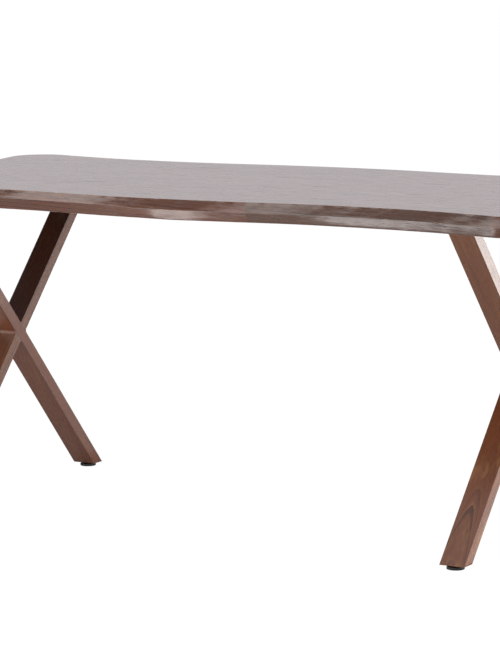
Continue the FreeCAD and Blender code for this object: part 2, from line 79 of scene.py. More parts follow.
# a shader socket that takes part in Python sums
class Flow:
    def __init__(self, tree, socket=None):
        self.tree = tree
        self.socket = socket

    def feed(self, node, inputs):
        for key, value in inputs.items():
            if isinstance(value, Flow):
                self.tree.links.new(value.socket, node.inputs[key])
            else:
                node.inputs[key].default_value = value

    def node(self, kind, settings=None, inputs=None, out=0):
        made = self.tree.nodes.new(kind)
        for key, value in (settings or {}).items():
            setattr(made, key, value)
        self.feed(made, inputs or {})
        return Flow(self.tree, made.outputs[out])

    def math(self, operation, first, second=0.0):
        return self.node("ShaderNodeMath", {"operation": operation}, {0: first, 1: second})

    def __add__(self, other):
        return self.math("ADD", self, other)

    def __radd__(self, other):
        return self.math("ADD", other, self)

    def __sub__(self, other):
        return self.math("SUBTRACT", self, other)

    def __rsub__(self, other):
        return self.math("SUBTRACT", other, self)

    def __mul__(self, other):
        return self.math("MULTIPLY", self, other)

    def __rmul__(self, other):
        return self.math("MULTIPLY", other, self)

    def __truediv__(self, other):
        return self.math("DIVIDE", self, other)

    def sqrt(self):
        return self.math("SQRT", self)

    def fraction(self):
        return self.math("FRACT", self)

    def floor(self):
        return self.math("FLOOR", self)

    def step(self, low, high):
        settings = {"interpolation_type": "SMOOTHSTEP"}
        return self.node("ShaderNodeMapRange", settings, {0: self, 1: low, 2: high})

    def atLeast(self, least):
        return least + (1 - least) * self

    def over(self, other, share):
        return share * self + (1 - share) * other

    def toss(self):  # one chance value for each whole number
        return self.node("ShaderNodeTexWhiteNoise", {"noise_dimensions": "1D"}, {"W": self})

    def stretched(self, scale):
        return self.node("ShaderNodeVectorMath", {"operation": "MULTIPLY"}, {0: self, 1: scale})

    def noise(self, scale, detail=2.0, rough=0.5):
        return self.node(
            "ShaderNodeTexNoise",
            inputs={"Vector": self.stretched(scale), "Scale": 1.0, "Detail": detail, "Roughness": rough},
        )

    def mix(self, first, second):
        return self.node("ShaderNodeMix", {"data_type": "RGBA"}, {0: self, 6: first, 7: second}, 2)

    def bump(self, strength, relief):
        inputs = {"Strength": strength, "Distance": relief, "Height": self}
        return self.node("ShaderNodeBump", inputs=inputs)


def newMaterial(name):
    material = bpy.data.materials.new(name)
    material.use_nodes = True
    tree = material.node_tree
    shader = tree.nodes["Principled BSDF"]
    return material, Flow(tree), shader


def shade(*rgb):
    return (*rgb, 1.0)


# open grained hardwood, stained walnut and lacquered
woodSet = {
    "light": shade(0.240, 0.083, 0.034),
    "mid": shade(0.174, 0.054, 0.021),
    "dark": shade(0.073, 0.021, 0.011),
    "pore": shade(0.036, 0.012, 0.007),
    "warm": shade(0.233, 0.068, 0.018),
    "gold": shade(0.289, 0.122, 0.049),
    # how strongly each pattern colours the wood
    "ringShare": 0.85,
    "streakShare": 0.80,
    "fibreShare": 0.35,
    "warmShare": 0.45,
    "goldShare": 0.55,
    "darkShare": 0.80,
    # painted shade: how dark the leg face under the table top is painted
    "paintedShadeShare": 0.85,
    "poreShare": 0.65,
    "dashShare": 0.0,
    "lineShare": 0.9,
    # growth rings: width of a year, slope of the cones, and how far a ring strays
    "ringStep": 0.0034,
    "taper": 0.055,
    "wander": 0.024,
    "waver": 0.0016,
    # veneer leaves: most shift along, across as a share of the leaf, and through
    "leafShift": (3.0, 0.5, 0.02),
    # noises: cells in a metre along, across and through the board, then detail and roughness
    "bend": ((2.4, 7.0, 7.0), 2.0),
    "ripple": ((14.0, 60.0, 60.0), 2.0),
    "zone": ((1.1, 9.0, 9.0), 1.0),
    "streak": ((3.0, 70.0, 70.0), 3.0, 0.6),
    "fibre": ((22.0, 900.0, 900.0), 2.0),
    "pores": ((30.0, 760.0, 760.0), 1.0),
    "dash": ((9.0, 80.0, 80.0), 1.0),
    "warmth": ((1.6, 11.0, 11.0), 2.0),
    "flame": ((5.0, 42.0, 42.0), 3.0, 0.6),
    "swells": ((26.0, 60.0, 60.0), 2.0),
    "furrows": ((7.0, 190.0, 190.0), 2.0),
    # where each pattern begins and where it is full
    "zoneEdge": (0.36, 0.58),
    "boldEdge": (0.50, 0.97),
    "lateRise": (0.25, 0.92),
    "lateFall": (0.94, 1.0),
    "earlyFall": (0.0, 0.42),
    "lineFall": (0.04, 0.24),
    "poreEdge": (0.56, 0.70),
    "dashEdge": (0.68, 0.76),
    "warmEdge": (0.42, 0.66),
    "flameEdge": (0.50, 0.68),
    "midEdge": (0.0, 0.62),
    "darkEdge": (0.18, 0.85),
    "streakLevel": 0.35,
    # what is left of a pattern where it is weakest
    "zoneLeast": 0.40,
    "lateLeast": 0.15,
    "poreLeast": 0.35,
    # lacquer and relief
    "roughness": 0.25,
    "poreRough": 0.18,
    "streakRough": 0.10,
    "dashRough": 0.0,
    "ior": 1.5,
    "bump": 0.6,
    "relief": 0.00012,
    "fibreRelief": 0.25,
    "lateRelief": 0.2,
    "swell": 0.0,
    "furrow": 0.0,
}


# the board's own directions: along the grain, across it and through the board
def boardAxes(flow, cut, look):
    if cut.get("follows"):
        spot = flow.node("ShaderNodeAttribute", {"attribute_name": cut["follows"]}, out="Vector")
    else:
        spot = flow.node("ShaderNodeTexCoord", out="Object")
    turn = [math.radians(a) for a in cut.get("turn", (0, 0, 0))]
    board = flow.node(
        "ShaderNodeMapping",
        {"vector_type": "TEXTURE"},
        {"Vector": spot, "Location": cut["place"], "Rotation": turn},
    )
    parts = [flow.node("ShaderNodeSeparateXYZ", inputs={0: board}, out=i) for i in range(3)]
    along, across, deep = [parts["XYZ".index(letter)] for letter in cut["order"]]
    if cut.get("leaf"):
        shiftAlong, shiftAcross, shiftDeep = look["leafShift"]
        leaf = (across / cut["leaf"] + 0.5).floor()
        toss = leaf.toss()
        across = across - leaf * cut["leaf"] + (toss - 0.5) * (cut["leaf"] * shiftAcross)
        along = along + toss * shiftAlong
        deep = deep + toss * shiftDeep
    return along, across, deep


# growth rings: nested cones about a pith beside the board, each year its own depth of colour
def growthRings(grain, axes, cut, look):
    along, across, deep = axes
    bend = grain.noise(*look["bend"]) - 0.5
    ripple = grain.noise(*look["ripple"]) - 0.5
    side = across - cut["pith"][0]
    depth = deep - cut["pith"][1]
    radius = (side * side + depth * depth).sqrt() + along * look["taper"]
    years = (radius + bend * look["wander"] + ripple * look["waver"]) / look["ringStep"]
    ring = years.fraction()
    year = years.floor() + cut.get("born", 0)
    zone = grain.noise(*look["zone"]).step(*look["zoneEdge"]).atLeast(look["zoneLeast"])
    bold = year.toss().step(*look["boldEdge"]) * zone
    before = (year - 1).toss().step(*look["boldEdge"]) * zone
    late = (ring.step(*look["lateRise"]) - ring.step(*look["lateFall"])) * bold.atLeast(look["lateLeast"])
    early = 1 - ring.step(*look["earlyFall"])
    line = (1 - ring.step(*look["lineFall"])) * before
    return late, early, line


def woodMaterial(name, cut, change):
    look = dict(woodSet, **change)
    material, flow, shader = newMaterial(name)
    axes = boardAxes(flow, cut, look)
    along, across, deep = axes
    grain = flow.node("ShaderNodeCombineXYZ", inputs={0: along, 1: across, 2: deep})
    late, early, line = growthRings(grain, axes, cut, look)
    # long soft streaks, fine fibre, open pores and a few larger dashes
    streak = grain.noise(*look["streak"])
    fibre = grain.noise(*look["fibre"])
    pore = grain.noise(*look["pores"]).step(*look["poreEdge"]) * early.atLeast(look["poreLeast"])
    dash = grain.noise(*look["dash"]).step(*look["dashEdge"])
    tone = look["ringShare"] * late + look["streakShare"] * (streak - look["streakLevel"])
    tone = tone + look["fibreShare"] * (fibre - 0.5)
    colour = tone.step(*look["midEdge"]).mix(look["light"], look["mid"])
    warm = grain.noise(*look["warmth"]).step(*look["warmEdge"])
    colour = (warm * look["warmShare"]).mix(colour, look["warm"])
    flame = grain.noise(*look["flame"]).step(*look["flameEdge"]) + look["lineShare"] * line
    colour = (flame * look["goldShare"]).mix(colour, look["gold"])
    colour = (tone.step(*look["darkEdge"]) * look["darkShare"]).mix(colour, look["dark"])
    # painted shade: where the table top shades a leg's upper front face, that face is painted dark
    if "paintedShade" in cut:
        paintedShade = along.step(*cut["paintedShade"][0]) * deep.step(*cut["paintedShade"][1])
        colour = (paintedShade * look["paintedShadeShare"]).mix(colour, look["dark"])
    colour = (pore * look["poreShare"]).mix(colour, look["pore"])
    colour = (dash * look["dashShare"]).mix(colour, look["dark"])
    height = fibre * look["fibreRelief"] - pore + late * look["lateRelief"]
    if look["swell"]:
        height = height + grain.noise(*look["swells"]) * look["swell"]
        height = height + grain.noise(*look["furrows"]) * look["furrow"]
    bump = height.bump(look["bump"], look["relief"])
    rough = look["roughness"] + pore * look["poreRough"] + (streak - 0.5) * look["streakRough"]
    rough = rough + dash * look["dashRough"]
    flow.feed(shader, {"Base Color": colour, "Roughness": rough, "Normal": bump, "IOR": look["ior"]})
    return material


# flat sheet or bar steel under a black powder coat
powderSet = {
    "low": shade(0.012, 0.012, 0.013),
    "high": shade(0.024, 0.024, 0.025),
    "grit": ((900.0, 900.0, 900.0), 2.0),
    "cloud": ((16.0, 16.0, 16.0), 3.0),
    "gritShare": 0.6,
    "toneEdge": (0.3, 0.7),
    "roughness": 0.52,
    "roughSwing": 0.2,
    "bump": 0.5,
    "relief": 0.0001,
}


def powderMaterial(name):
    look = powderSet
    material, flow, shader = newMaterial(name)
    spot = flow.node("ShaderNodeTexCoord", out="Object")
    grit = spot.noise(*look["grit"])
    cloud = spot.noise(*look["cloud"])
    tone = grit.over(cloud, look["gritShare"]).step(*look["toneEdge"])
    colour = tone.mix(look["low"], look["high"])
    bump = grit.bump(look["bump"], look["relief"])
    rough = look["roughness"] + (cloud - 0.5) * look["roughSwing"]
    flow.feed(shader, {"Base Color": colour, "Roughness": rough, "Normal": bump})
    return material


# bright zinc plate on screws, bolts, washers and inserts
zincSet = {
    "low": shade(0.42, 0.43, 0.44),
    "high": shade(0.62, 0.62, 0.60),
    "cloud": ((220.0, 220.0, 220.0), 3.0),
    "scuff": ((1500.0, 1500.0, 90.0), 2.0),
    "cloudShare": 0.6,
    "toneEdge": (0.3, 0.7),
    "roughness": 0.30,
    "roughSwing": 0.25,
    "bump": 0.3,
    "relief": 0.00005,
}


def zincMaterial(name):
    look = zincSet
    material, flow, shader = newMaterial(name)
    spot = flow.node("ShaderNodeTexCoord", out="Object")
    cloud = spot.noise(*look["cloud"])
    scuff = spot.noise(*look["scuff"])
    tone = cloud.over(scuff, look["cloudShare"]).step(*look["toneEdge"])
    colour = tone.mix(look["low"], look["high"])
    bump = scuff.bump(look["bump"], look["relief"])
    rough = look["roughness"] + (scuff - 0.5) * look["roughSwing"]
    flow.feed(shader, {"Base Color": colour, "Roughness": rough, "Normal": bump, "Metallic": 1.0})
    return material


# moulded black plastic of the levelling feet
padSet = {
    "low": shade(0.012, 0.011, 0.010),
    "high": shade(0.026, 0.024, 0.022),
    "grit": ((1400.0, 1400.0, 1400.0), 2.0),
    "cloud": ((60.0, 60.0, 60.0), 2.0),
    "gritShare": 0.5,
    "toneEdge": (0.3, 0.7),
    "roughness": 0.45,
    "roughSwing": 0.2,
    "bump": 0.4,
    "relief": 0.00006,
}


def padMaterial(name):
    look = padSet
    material, flow, shader = newMaterial(name)
    spot = flow.node("ShaderNodeTexCoord", out="Object")
    grit = spot.noise(*look["grit"])
    cloud = spot.noise(*look["cloud"])
    tone = grit.over(cloud, look["gritShare"]).step(*look["toneEdge"])
    colour = tone.mix(look["low"], look["high"])
    bump = grit.bump(look["bump"], look["relief"])
    rough = look["roughness"] + (grit - 0.5) * look["roughSwing"]
    flow.feed(shader, {"Base Color": colour, "Roughness": rough, "Normal": bump})
    return material


# pressed particle board inside the top
boardSet = {
    "low": shade(0.22, 0.15, 0.09),
    "high": shade(0.50, 0.38, 0.25),
    "chips": 260.0,
    "fine": ((1100.0, 1100.0, 1100.0), 2.0),
    "chipShare": 0.7,
    "toneEdge": (0.1, 0.9),
    "roughness": 0.75,
    "bump": 0.5,
    "relief": 0.0002,
}


def boardMaterial(name):
    look = boardSet
    material, flow, shader = newMaterial(name)
    spot = flow.node("ShaderNodeTexCoord", out="Object")
    chips = flow.node("ShaderNodeTexVoronoi", inputs={"Vector": spot, "Scale": look["chips"]}, out="Color")
    fine = spot.noise(*look["fine"])
    chip = flow.node("ShaderNodeSeparateXYZ", inputs={0: chips})
    colour = chip.over(fine, look["chipShare"]).step(*look["toneEdge"]).mix(look["low"], look["high"])
    bump = chip.bump(look["bump"], look["relief"])
    flow.feed(shader, {"Base Color": colour, "Roughness": look["roughness"], "Normal": bump})
    return material


pieceSet = {"sharpAngle": 30}  # edges that turn more than this stay crisp


def finishPiece(name, bm, material, body, nodes):
    mesh = bpy.data.meshes.new(name)
    bmesh.ops.recalc_face_normals(bm, faces=bm.faces)
    bm.to_mesh(mesh)
    bm.free()
    if mesh.has_custom_normals:
        mesh.attributes.remove(mesh.attributes["custom_normal"])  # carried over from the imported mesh
    mesh.shade_smooth()
    mesh.set_sharp_from_angle(angle=math.radians(pieceSet["sharpAngle"]))
    mesh.materials.append(material)
    piece = bpy.data.objects.new(name, mesh)
    scene.collection.objects.link(piece)
    even = piece.modifiers.new("even normals", "WEIGHTED_NORMAL")
    even.keep_sharp = True
    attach(piece, body)
    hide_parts(*nodes)


# table top with a waved outline: bulges, waists and corners are arcs that touch
topSet = {
    "thickness": 0.044,
    "topZ": 0.750,
    "noseZ": 0.728,
    "veneer": 0.0006,
    "upperInset": 0.006,
    "lowerInset": 0.012,
    "waveRadius": 1.432,
    "waistX": 0.440,
    "cornerRadius": 0.080,
    "cornerAt": (0.820, 0.370),
    "arcStep": 0.006,
    "fewestSteps": 6,
    "weld": 0.0001,
}


# the arcs run anticlockwise from the middle of the front
def topArcs():
    wave, small, waistX = topSet["waveRadius"], topSet["cornerRadius"], topSet["waistX"]
    cornerX, cornerY = topSet["cornerAt"]
    apart = wave + small  # from the centre of a waist to the centre of its corner
    sideY = cornerY + math.sqrt(apart ** 2 - (cornerX - waistX) ** 2)
    middleY = math.sqrt((2 * wave) ** 2 - waistX ** 2) - sideY
    endX = cornerX + math.sqrt(apart ** 2 - cornerY ** 2)
    middle = math.degrees(math.asin(waistX / (2 * wave)))
    side = math.degrees(math.asin((cornerX - waistX) / apart))
    end = math.degrees(math.asin(cornerY / apart))
    corner = 90 + side + end
    rows = [
        ("front_middle", (0, middleY), wave, -90 - middle, 2 * middle),
        ("front_right", (waistX, -sideY), wave, 90 + middle, -middle - side),
        ("corner_front_right", (cornerX, -cornerY), small, -90 - side, corner),
        ("right_end", (endX, 0), wave, 180 + end, -2 * end),
        ("corner_back_right", (cornerX, cornerY), small, -end, corner),
        ("back_right", (waistX, sideY), wave, -90 + side, -middle - side),
        ("back_middle", (0, -middleY), wave, 90 - middle, 2 * middle),
        ("back_left", (-waistX, sideY), wave, -90 + middle, -middle - side),
        ("corner_back_left", (-cornerX, cornerY), small, 90 - side, corner),
        ("left_end", (-endX, 0), wave, end, -2 * end),
        ("corner_front_left", (-cornerX, -cornerY), small, 180 - end, corner),
        ("front_left", (-waistX, -sideY), wave, 90 + side, -middle - side),
    ]
    keys = ("name", "centre", "radius", "start", "sweep")
    return [dict(zip(keys, row)) for row in rows]


# inwards is towards the centre of a bulge and away from the centre of a waist
def arcReach(arc, inset):
    return arc["radius"] - inset if arc["sweep"] > 0 else arc["radius"] + inset


def spinArc(bm, geom, arc):
    angle = math.radians(arc["sweep"])
    steps = max(topSet["fewestSteps"], round(abs(angle) * arc["radius"] / topSet["arcStep"]))
    bmesh.ops.spin(bm, geom=geom, cent=(0, 0, 0), axis=(0, 0, 1), angle=angle, steps=steps)


def placeArc(bm, arc):
    turn = Matrix.Rotation(math.radians(arc["start"]), 4, "Z")
    bmesh.ops.transform(bm, matrix=Matrix.Translation((*arc["centre"], 0)) @ turn, verts=bm.verts)


# the faces of the edge lean in and out and the nose rises and falls, as shaped by hand
handSet = {
    # place along the side, share of the swing
    "upper": ((-0.470, -0.1), (-0.330, 1.05), (-0.215, 1.05), (-0.150, 0.40), (-0.060, -0.30),
              (0.030, -0.6), (0.200, 0.92), (0.245, 1.05), (0.380, 0.35), (0.470, 0.15), (0.560, -0.6),
              (0.580, -0.6), (0.690, 0.12), (0.730, 0.12), (0.800, 0.85), (0.840, 1.05)),
    "lower": ((-0.170, 0.80), (-0.050, 0.6), (0.035, -1.0), (0.050, -1.0), (0.140, 0.36),
              (0.195, 0.46), (0.235, 0.6), (0.325, 0.5), (0.425, -0.6), (0.450, -1.0), (0.540, -0.95),
              (0.600, -0.65), (0.700, -0.65), (0.760, -0.9), (0.800, -0.9), (0.845, 0.5)),
    "end": ((-0.200, 1.0), (-0.110, -1.0), (0.070, -1.0), (0.150, 1.0)),
    # place along the side, rise in metres
    "nose": ((-0.130, 0.0028), (-0.020, 0.0), (0.620, 0.0), (0.760, -0.0015)),
    "upperSwing": 0.0030,
    "lowerSwing": 0.0040,
    "corner": (0.36, 0.40),  # where the ends give way to the sides
    "slant": 1.5,  # the upper face's patches lean along the edge
    "ripples": ((0.041, 0.6), (0.083, 2.1)),  # length, phase
    "rippleShare": 0.07,
    "depth": 0.020,  # deeper in than this nothing moves
}


def smooth(t):
    t = min(max(t, 0.0), 1.0)
    return t * t * (3 - 2 * t)


def valueAt(knots, place):
    value = knots[0][1]
    for (start, first), (stop, last) in zip(knots, knots[1:]):
        value += (last - first) * smooth((place - start) / (stop - start))
    return value


# 0 on the ends of the table, 1 on its long sides
def sideShare(point):
    low, high = handSet["corner"]
    return smooth((abs(point.y) - low) / (high - low))


def alongSide(point):
    return point.x if point.y < 0 else -point.x


def handLean(point):
    rise = point.z - topSet["noseZ"]
    shift = handSet["slant"] * max(rise, 0.0)
    along = alongSide(point) - shift
    around = (point.y if point.x > 0 else -point.y) - shift
    end = valueAt(handSet["end"], around)
    side = valueAt(handSet["upper" if rise > 0 else "lower"], along)
    lean = end + (side - end) * sideShare(point)
    for length, phase in handSet["ripples"]:
        lean += handSet["rippleShare"] * math.sin(2 * math.pi * (along + around) / length + phase)
    return lean


def noseRise(point):
    reach = topSet["topZ"] - topSet["veneer"] - topSet["noseZ"]
    share = max(0.0, 1 - abs(point.z - topSet["noseZ"]) / reach)
    return valueAt(handSet["nose"], alongSide(point)) * sideShare(point) * share


def shapeByHand(bm, arc):
    centre = Vector((*arc["centre"], 0))
    top, nose = topSet["topZ"], topSet["noseZ"]
    low = top - topSet["thickness"]
    for vert in bm.verts:
        ray = vert.co - centre
        ray.z = 0
        inset = arc["radius"] - ray.length if arc["sweep"] > 0 else ray.length - arc["radius"]
        if inset > handSet["depth"]:
            continue
        outward = ray.normalized() if arc["sweep"] > 0 else -ray.normalized()
        lean = handLean(vert.co)
        rise = noseRise(vert.co)
        if vert.co.z > nose:
            vert.co += outward * lean * handSet["upperSwing"] * (vert.co.z - nose) / (top - nose)
        else:
            vert.co -= outward * lean * handSet["lowerSwing"] * (nose - vert.co.z) / (nose - low)
        vert.co.z += rise


# edge lippings with a tongue at the back
lipSet = {
    "back": 0.034,
    "tongue": 0.042,
    "tongueZ": (0.723, 0.733),
    "strips": 4,
    "noseRound": 0.0005,
    "noseSteps": 3,
    "lowRound": 0.0015,
    "lowSteps": 2,
    "grainStart": (1.7, 0.9),  # shifts each lipping along its board
    "weld": 0.000001,
    "near": 0.00001,
}


# the grain runs round each lipping with its curve
def followArc(bm, arc):
    layer = bm.verts.layers.float_vector.new("grain")
    first = sum(place * shift for place, shift in zip(arc["centre"], lipSet["grainStart"]))
    for vert in bm.verts:
        reach = vert.co.xy.length
        along = first + abs(math.atan2(vert.co.y, vert.co.x)) * arc["radius"]
        vert[layer] = (along, abs(reach - arc["radius"]), vert.co.z)


def between(first, last, count):
    return [tuple(a + (b - a) * i / count for a, b in zip(first, last)) for i in range(count)]


def ringEdges(bm, reach, z):
    near = lipSet["near"]

    def onRing(vert):
        return abs(vert.co.z - z) < near and abs(vert.co.xy.length - reach) < near

    return [edge for edge in bm.edges if all(onRing(vert) for vert in edge.verts)]


def roundEdges(bm, edges, offset, segments):
    bmesh.ops.bevel(
        bm, geom=edges, offset=offset, offset_type="OFFSET", affect="EDGES",
        segments=segments, profile=0.5, material=-1, clamp_overlap=True,
    )


def makeLipping(arc, material):
    nose, veneer = topSet["noseZ"], topSet["veneer"]
    high = topSet["topZ"] - veneer
    low = topSet["topZ"] - topSet["thickness"] + veneer
    rise = topSet["topZ"] - nose
    upper = topSet["upperInset"] * (high - nose) / rise
    lower = topSet["lowerInset"] * (nose - low) / rise
    back, tongue = lipSet["back"], lipSet["tongue"]
    tongueLow, tongueHigh = lipSet["tongueZ"]
    section = [
        *between((upper, high), (0.0, nose), lipSet["strips"]),
        *between((0.0, nose), (lower, low), lipSet["strips"]),
        (lower, low), (back, low), (back, tongueLow), (tongue, tongueLow),
        (tongue, tongueHigh), (back, tongueHigh), (back, high),
    ]
    bm = bmesh.new()
    corners = [bm.verts.new((arcReach(arc, inset), 0, z)) for inset, z in section]
    face = bm.faces.new(corners)
    spinArc(bm, [face, *face.edges, *face.verts], arc)
    bmesh.ops.remove_doubles(bm, verts=bm.verts, dist=lipSet["weld"])
    roundEdges(bm, ringEdges(bm, arc["radius"], nose), lipSet["noseRound"], lipSet["noseSteps"])
    roundEdges(bm, ringEdges(bm, arcReach(arc, lower), low), lipSet["lowRound"], lipSet["lowSteps"])
    followArc(bm, arc)
    placeArc(bm, arc)
    shapeByHand(bm, arc)
    node = "lipping_" + arc["name"]
    finishPiece("edge_" + arc["name"], bm, material, "table", [node])


def makeVeneer(name, inset, z, material, node):
    whole = bmesh.new()
    for arc in topArcs():
        bm = bmesh.new()
        start = bm.verts.new((arcReach(arc, inset), 0, z))
        spinArc(bm, [start], arc)
        placeArc(bm, arc)
        shapeByHand(bm, arc)
        part = bpy.data.meshes.new("part")
        bm.to_mesh(part)
        bm.free()
        whole.from_mesh(part)
        bpy.data.meshes.remove(part)
    bmesh.ops.remove_doubles(whole, verts=whole.verts, dist=topSet["weld"])
    sheet = bmesh.ops.edgeloop_fill(whole, edges=whole.edges)
    lifted = bmesh.ops.extrude_face_region(whole, geom=sheet["faces"], use_keep_orig=True)
    verts = [v for v in lifted["geom"] if isinstance(v, bmesh.types.BMVert)]
    bmesh.ops.translate(whole, vec=(0, 0, topSet["veneer"]), verts=verts)
    finishPiece(name, whole, material, "table", [node])


topCut = {"place": (0, 0.03, 0.75), "order": "XYZ", "pith": (0.0, -0.035), "leaf": 0.21}
topLook = {
    "light": shade(0.182, 0.085, 0.049),
    "mid": shade(0.110, 0.046, 0.026),
    "dark": shade(0.034, 0.013, 0.008),
    "gold": shade(0.244, 0.122, 0.067),
    "goldShare": 0.45, "warmShare": 0.15, "ringShare": 1.0, "streakShare": 0.90, "dashShare": 0.45,
    "ringStep": 0.0050, "taper": 0.060, "wander": 0.030, "boldEdge": (0.25, 0.97),
    "roughness": 0.26, "dashRough": 0.09, "streakRough": 0.02, "relief": 0.00002,
}
backCut = {"place": (0.6, 0.07, 0.70), "order": "XYZ", "pith": (0.0, -0.04), "leaf": 0.24}
backLook = dict(topLook, roughness=0.58)  # the underside is sealed, not polished
lipCut = {"place": (0, 0, 0.64), "order": "XYZ", "pith": (0.090, 0.0), "follows": "grain"}
lipLook = {
    "light": shade(0.133, 0.050, 0.026),
    "mid": shade(0.096, 0.033, 0.017),
    "dark": shade(0.046, 0.016, 0.009),
    "gold": shade(0.170, 0.081, 0.044),
    "goldShare": 0.35, "warmShare": 0.15, "ringShare": 1.0, "swell": 7.0, "furrow": 2.5,
    "ringStep": 0.0042, "taper": 0.025, "wander": 0.012, "boldEdge": (0.25, 0.97),
}
# lippings that aren't named here keep the plain stain
lipTints = {
    "front_left": (0.91, 0.83, 0.77),
    "front_middle": (0.91, 0.83, 0.76),
    "front_right": (0.76, 0.87, 0.98),
    "back_left": (0.80, 0.84, 0.90),
    "back_middle": (0.95, 0.95, 0.92),
}
topWood = woodMaterial("walnut_veneer", topCut, topLook)
backWood = woodMaterial("backing_veneer", backCut, backLook)


def tinted(look, tint):
    tones = ("light", "mid", "dark", "warm", "gold")
    return dict(look, **{tone: shade(*(a * b for a, b in zip(look[tone], tint))) for tone in tones})


for arc in topArcs():
    lipWood = tinted(dict(woodSet, **lipLook), lipTints.get(arc["name"], (1, 1, 1)))
    makeLipping(arc, woodMaterial("edge_walnut_" + arc["name"], lipCut, lipWood))
lowZ = topSet["topZ"] - topSet["thickness"]
makeVeneer("top_face", topSet["upperInset"], topSet["topZ"] - topSet["veneer"], topWood,
           "top_face_veneer")
makeVeneer("top_back", topSet["lowerInset"] + lipSet["lowRound"], lowZ, backWood,
           "top_backing_veneer")
print("top and edges made")


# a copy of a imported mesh, its triangles joined into whole faces
copySet = {"flatAngle": 0.4}


def cleanCopy(node, weld):
    bm = bmesh.new()
    bm.from_mesh(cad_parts[node].data)
    bmesh.ops.remove_doubles(bm, verts=bm.verts, dist=weld)
    flat = math.radians(copySet["flatAngle"])
    bmesh.ops.dissolve_limit(
        bm, angle_limit=flat, verts=bm.verts, edges=bm.edges, use_dissolve_boundaries=False
    )
    return bm


# legs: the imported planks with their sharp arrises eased, apart from the shoulders of the half-lap
straightGrain = {"taper": 0.020, "ringStep": 0.0045}
flamedGrain = {
    "taper": 0.075, "ringStep": 0.0030, "wander": 0.008, "gold": shade(0.333, 0.148, 0.052),
    "goldShare": 0.95, "darkShare": 0.65, "flame": ((11.0, 46.0, 46.0), 3.0, 0.6),
}
legSet = {
    "slope": 48.288,
    "crossZ": 0.3725,
    "ease": 0.0012,
    "easeSteps": 4,
    "arrisAngle": 40,
    "lapHeight": 0.034,  # edges this near the crossing
    "lapEdge": 0.08,  # and shorter than this belong to the half-lap
    "weld": 0.00001,
    "near": 0.0001,
    "boardLean": 0.11,  # sets the grain of the two legs of a frame apart
    "boardShift": {"left": 0.0, "right": 0.37},  # and that of the two frames
    "boards": {
        "left_back_foot": {"tint": (0.89, 0.78, 0.66), "pith": (0.100, -0.020), "look": straightGrain},
        # this leg's upper front face lies in the table top's shade, which is painted onto it as dark
        # colour
        "left_front_foot": {"tint": (0.86, 0.89, 0.94), "pith": (0.090, -0.025), "look": straightGrain,
                            "paintedShade": ((-0.10, 0.0), (0.088, 0.095))},
        "right_back_foot": {"tint": (0.84, 0.84, 0.77), "pith": (0.100, -0.020), "look": straightGrain},
        "right_front_foot": {"tint": (0.94, 0.88, 0.82), "pith": (-0.003, 0.079), "look": flamedGrain,
                             "born": 1},
    },
}


def makeLeg(side, kind, material):
    node = f"{side}_leg_{kind}"
    bm = cleanCopy(node, legSet["weld"])
    low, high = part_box(node)
    sharp = math.radians(legSet["arrisAngle"])
    arrises = []
    for edge in bm.edges:
        if len(edge.link_faces) != 2 or edge.calc_face_angle(0) < sharp:
            continue
        a, b = (vert.co for vert in edge.verts)
        onSide = all(min(abs(p.x - low.x), abs(p.x - high.x)) < legSet["near"] for p in (a, b))
        nearCross = abs((a.z + b.z) / 2 - legSet["crossZ"]) < legSet["lapHeight"]
        if onSide and not (nearCross and edge.calc_length() < legSet["lapEdge"]):
            arrises.append(edge)
    roundEdges(bm, arrises, legSet["ease"], legSet["easeSteps"])
    finishPiece(node + "_plank", bm, material, "table", [node])


for side, shift in legSet["boardShift"].items():
    low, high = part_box(f"{side}_leg_back_foot")
    midX = (low.x + high.x) / 2
    for kind, lean in (("back_foot", -1), ("front_foot", 1)):
        board = legSet["boards"][f"{side}_{kind}"]
        place = (midX, legSet["boardLean"] * lean + shift, legSet["crossZ"] + shift)
        cut = dict(board, place=place, turn=(lean * legSet["slope"], 0, 0), order="YXZ")
        look = tinted(dict(woodSet, **board["look"]), board["tint"])
        makeLeg(side, kind, woodMaterial(f"leg_wood_{side}_{kind}", cut, look))
print("legs made")


# carried-over hardware takes its finishes
dowelCut = {"place": (0, 0, 0), "order": "XYZ", "pith": (0.0, -0.01)}
dowelLook = {
    "light": shade(0.55, 0.38, 0.24),
    "mid": shade(0.47, 0.31, 0.19),
    "dark": shade(0.36, 0.22, 0.13),
}
boardWood = boardMaterial("particle_board")
dowelWood = woodMaterial("dowel_beech", dowelCut, dowelLook)
powder = powderMaterial("black_powder_coat")
zinc = zincMaterial("zinc_plate")
plastic = padMaterial("foot_plastic")
finishes = {"top_core": boardWood, "dowels": dowelWood, "insert": zinc}
for name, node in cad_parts.items():
    for word, material in finishes.items():
        if word in name:
            for holder in node.material_slots:
                holder.material = material
            break
print("hardware finished")


# levelling feet: a fluted pad turning on a threaded stud, sections in millimetres
footSet = {
    "corners": ("front_left", "front_right", "back_left", "back_right"),
    "pad": ((0.0, 0.6), (14.4, 0.6), (15.0, 0.0), (17.8, 0.0), (18.7, 0.35), (19.0, 1.2), (19.0, 5.0),
            (18.7, 5.5), (18.0, 5.75), (9.6, 7.6), (9.0, 7.8), (3.05, 7.8), (3.05, 3.0), (0.0, 3.0)),
    "padSteps": 96,
    "padWeld": 0.000001,
    "rim": 0.0185,  # flutes are cut outside of this radius
    "fluteEvery": 4,
    "flute": 0.974,  # radius in a flute, as a share
    "thread": ((2.45, 0.0), (2.98, 0.42), (2.98, 0.54), (2.45, 0.96), (2.45, 1.0)),
    "pitch": 0.001,
    "threadSteps": 24,
    "threadWeld": 0.00001,
    "leadTurns": 1.5,
    "spareTurns": 2,
}


def drawLine(bm, section, z):
    line = [bm.verts.new((reach / 1000, 0, z + rise / 1000)) for reach, rise in section]
    return [*line, *(bm.edges.new(pair) for pair in zip(line, line[1:]))]


def standAt(bm, low, high):
    middle = (low + high) / 2
    bmesh.ops.translate(bm, vec=(middle.x, middle.y, 0), verts=bm.verts)


